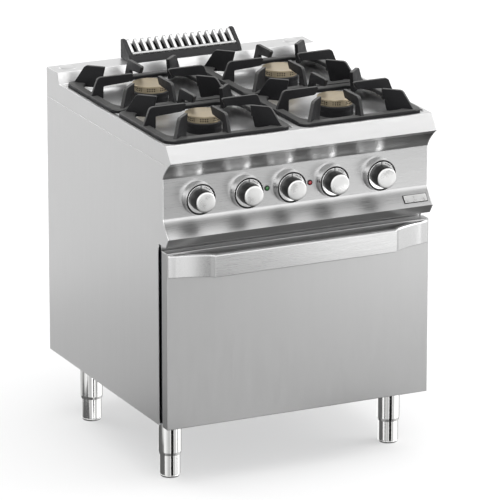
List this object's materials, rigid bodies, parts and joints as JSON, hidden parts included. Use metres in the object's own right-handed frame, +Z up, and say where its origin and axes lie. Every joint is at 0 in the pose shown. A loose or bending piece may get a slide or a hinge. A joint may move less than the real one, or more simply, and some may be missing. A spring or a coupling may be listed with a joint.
{
  "type": "commercial gas range",
  "caption": "Stainless commercial cooking range with an open-burner gas hob, cast grates, an oven with a drop-down door, front control knobs, a rear flue and adjustable legs.",
  "frame": {"origin": "on the floor under the centre of the bounding box", "axes": "+Z up, -Y out of the control panel and door, +X to the right as seen from the front"},
  "size_m": [0.7, 0.739, 0.93],
  "materials": {
    "stainless": "fine brushed grain, satin",
    "worktop_steel": "fine brushed grain on the slab, pressed bright tubs",
    "satin_steel": "satin, brighter than the panels",
    "leg_steel": "polished stainless tube",
    "bezel_chrome": "mirror chrome",
    "shelf_chrome": "plated wire",
    "galvanised": "zinc coated, dull",
    "element_sheath": "heat-darkened sheath",
    "black_enamel": "black vitreous enamel, semi-gloss",
    "oven_enamel": "dark vitreous enamel, gloss",
    "cast_iron": "black enamelled cast iron, matt",
    "burner_brass": "machined, pale champagne",
    "tap_brass": "machined",
    "knob_plastic": "black heat-resistant plastic",
    "fitting_plastic": "black moulded plastic",
    "seal_rubber": "black door gasket",
    "green_lens": "clear green lens",
    "red_lens": "clear red lens"
  },
  "bodies": {
    "cabinet": {"back_panel": "galvanised", "base_panel": "galvanised", "burner_body_front_left": "cast_iron", "burner_body_front_right": "cast_iron", "burner_body_rear_left": "cast_iron", "burner_body_rear_right": "cast_iron", "cable_gland": "fitting_plastic", "control_panel": "stainless", "door_seal": "seal_rubber", "flue_grille": "satin_steel", "flue_housing": "black_enamel", "gas_manifold": "galvanised", "gas_tap_1": "tap_brass", "gas_tap_2": "tap_brass", "gas_tap_3": "tap_brass", "gas_tap_4": "tap_brass", "heating_element": "element_sheath", "knob_bezel_gas_1": "bezel_chrome", "knob_bezel_gas_2": "bezel_chrome", "knob_bezel_gas_3": "bezel_chrome", "knob_bezel_gas_4": "bezel_chrome", "knob_bezel_oven": "bezel_chrome", "lamp_heating": "red_lens", "lamp_power": "green_lens", "leg_sleeve_front_left": "leg_steel", "leg_sleeve_front_right": "leg_steel", "leg_sleeve_rear_left": "leg_steel", "leg_sleeve_rear_right": "leg_steel", "oven_chamber": "oven_enamel", "oven_thermostat": "fitting_plastic", "side_panel_left": "stainless", "side_panel_right": "stainless", "worktop": "worktop_steel"},
    "foot_front_left": {"leg_foot_front_left": "leg_steel"},
    "foot_front_right": {"leg_foot_front_right": "leg_steel"},
    "foot_rear_left": {"leg_foot_rear_left": "leg_steel"},
    "foot_rear_right": {"leg_foot_rear_right": "leg_steel"},
    "crown_front_left": {"burner_crown_front_left": "burner_brass"},
    "crown_front_right": {"burner_crown_front_right": "burner_brass"},
    "crown_rear_left": {"burner_crown_rear_left": "burner_brass"},
    "crown_rear_right": {"burner_crown_rear_right": "burner_brass"},
    "grate_front_left": {"grate_front_left": "cast_iron"},
    "grate_front_right": {"grate_front_right": "cast_iron"},
    "grate_rear_left": {"grate_rear_left": "cast_iron"},
    "grate_rear_right": {"grate_rear_right": "cast_iron"},
    "spindle_1": {"tap_spindle_1": "galvanised"},
    "knob_1": {"knob_gas_1": "knob_plastic"},
    "spindle_2": {"tap_spindle_2": "galvanised"},
    "knob_2": {"knob_gas_2": "knob_plastic"},
    "spindle_3": {"tap_spindle_3": "galvanised"},
    "knob_3": {"knob_gas_3": "knob_plastic"},
    "spindle_4": {"tap_spindle_4": "galvanised"},
    "knob_4": {"knob_gas_4": "knob_plastic"},
    "oven_knob": {"knob_oven": "knob_plastic"},
    "door": {"door_handle": "satin_steel", "door_inner_panel": "satin_steel", "door_outer_panel": "stainless", "hinge_arm_left": "galvanised", "hinge_arm_right": "galvanised"},
    "shelf": {"oven_shelf": "shelf_chrome"}
  },
  "joints": [
    {"name": "foot_front_left_height", "type": "slide", "parent": "cabinet", "child": "foot_front_left", "axis": [0, 0, -1], "range_m": [0, 0.03]},
    {"name": "foot_front_right_height", "type": "slide", "parent": "cabinet", "child": "foot_front_right", "axis": [0, 0, -1], "range_m": [0, 0.03]},
    {"name": "foot_rear_left_height", "type": "slide", "parent": "cabinet", "child": "foot_rear_left", "axis": [0, 0, -1], "range_m": [0, 0.03]},
    {"name": "foot_rear_right_height", "type": "slide", "parent": "cabinet", "child": "foot_rear_right", "axis": [0, 0, -1], "range_m": [0, 0.03]},
    {"name": "crown_front_left_lift", "type": "slide", "parent": "cabinet", "child": "crown_front_left", "axis": [0, 0, 1], "range_m": [0, 0.06]},
    {"name": "crown_front_right_lift", "type": "slide", "parent": "cabinet", "child": "crown_front_right", "axis": [0, 0, 1], "range_m": [0, 0.06]},
    {"name": "crown_rear_left_lift", "type": "slide", "parent": "cabinet", "child": "crown_rear_left", "axis": [0, 0, 1], "range_m": [0, 0.06]},
    {"name": "crown_rear_right_lift", "type": "slide", "parent": "cabinet", "child": "crown_rear_right", "axis": [0, 0, 1], "range_m": [0, 0.06]},
    {"name": "grate_front_left_lift", "type": "slide", "parent": "cabinet", "child": "grate_front_left", "axis": [0, 0, 1], "range_m": [0, 0.1]},
    {"name": "grate_front_right_lift", "type": "slide", "parent": "cabinet", "child": "grate_front_right", "axis": [0, 0, 1], "range_m": [0, 0.1]},
    {"name": "grate_rear_left_lift", "type": "slide", "parent": "cabinet", "child": "grate_rear_left", "axis": [0, 0, 1], "range_m": [0, 0.1]},
    {"name": "grate_rear_right_lift", "type": "slide", "parent": "cabinet", "child": "grate_rear_right", "axis": [0, 0, 1], "range_m": [0, 0.1]},
    {"name": "knob_1_press", "type": "slide", "parent": "cabinet", "child": "spindle_1", "axis": [0, 1, 0], "range_m": [0, 0.004], "stiffness_N_per_m": 400, "springref_m": -0.004},
    {"name": "knob_1_turn", "type": "hinge", "parent": "spindle_1", "child": "knob_1", "pos_m": [-0.26, -0.3336, 0.7145], "axis": [0, -1, 0], "range_deg": [0, 180]},
    {"name": "knob_2_press", "type": "slide", "parent": "cabinet", "child": "spindle_2", "axis": [0, 1, 0], "range_m": [0, 0.004], "stiffness_N_per_m": 400, "springref_m": -0.004},
    {"name": "knob_2_turn", "type": "hinge", "parent": "spindle_2", "child": "knob_2", "pos_m": [-0.135, -0.3336, 0.7145], "axis": [0, -1, 0], "range_deg": [0, 180]},
    {"name": "knob_3_press", "type": "slide", "parent": "cabinet", "child": "spindle_3", "axis": [0, 1, 0], "range_m": [0, 0.004], "stiffness_N_per_m": 400, "springref_m": -0.004},
    {"name": "knob_3_turn", "type": "hinge", "parent": "spindle_3", "child": "knob_3", "pos_m": [0.091, -0.3336, 0.7145], "axis": [0, -1, 0], "range_deg": [0, 180]},
    {"name": "knob_4_press", "type": "slide", "parent": "cabinet", "child": "spindle_4", "axis": [0, 1, 0], "range_m": [0, 0.004], "stiffness_N_per_m": 400, "springref_m": -0.004},
    {"name": "knob_4_turn", "type": "hinge", "parent": "spindle_4", "child": "knob_4", "pos_m": [0.216, -0.3336, 0.7145], "axis": [0, -1, 0], "range_deg": [0, 180]},
    {"name": "oven_knob_turn", "type": "hinge", "parent": "cabinet", "child": "oven_knob", "pos_m": [-0.022, -0.3336, 0.7145], "axis": [0, 1, 0], "range_deg": [0, 270]},
    {"name": "door_hinge", "type": "hinge", "parent": "cabinet", "child": "door", "pos_m": [0, -0.294, 0.156], "axis": [1, 0, 0], "range_deg": [0, 90], "stiffness_Nm_per_rad": 7, "springref_deg": -42.97},
    {"name": "shelf_slide", "type": "slide", "parent": "cabinet", "child": "shelf", "axis": [0, -1, 0], "range_m": [0, 0.3]}
  ],
  "couplings": [
    {"joint": "shelf_slide", "follows": "door_hinge", "m_per_rad": 0.19}
  ]
}
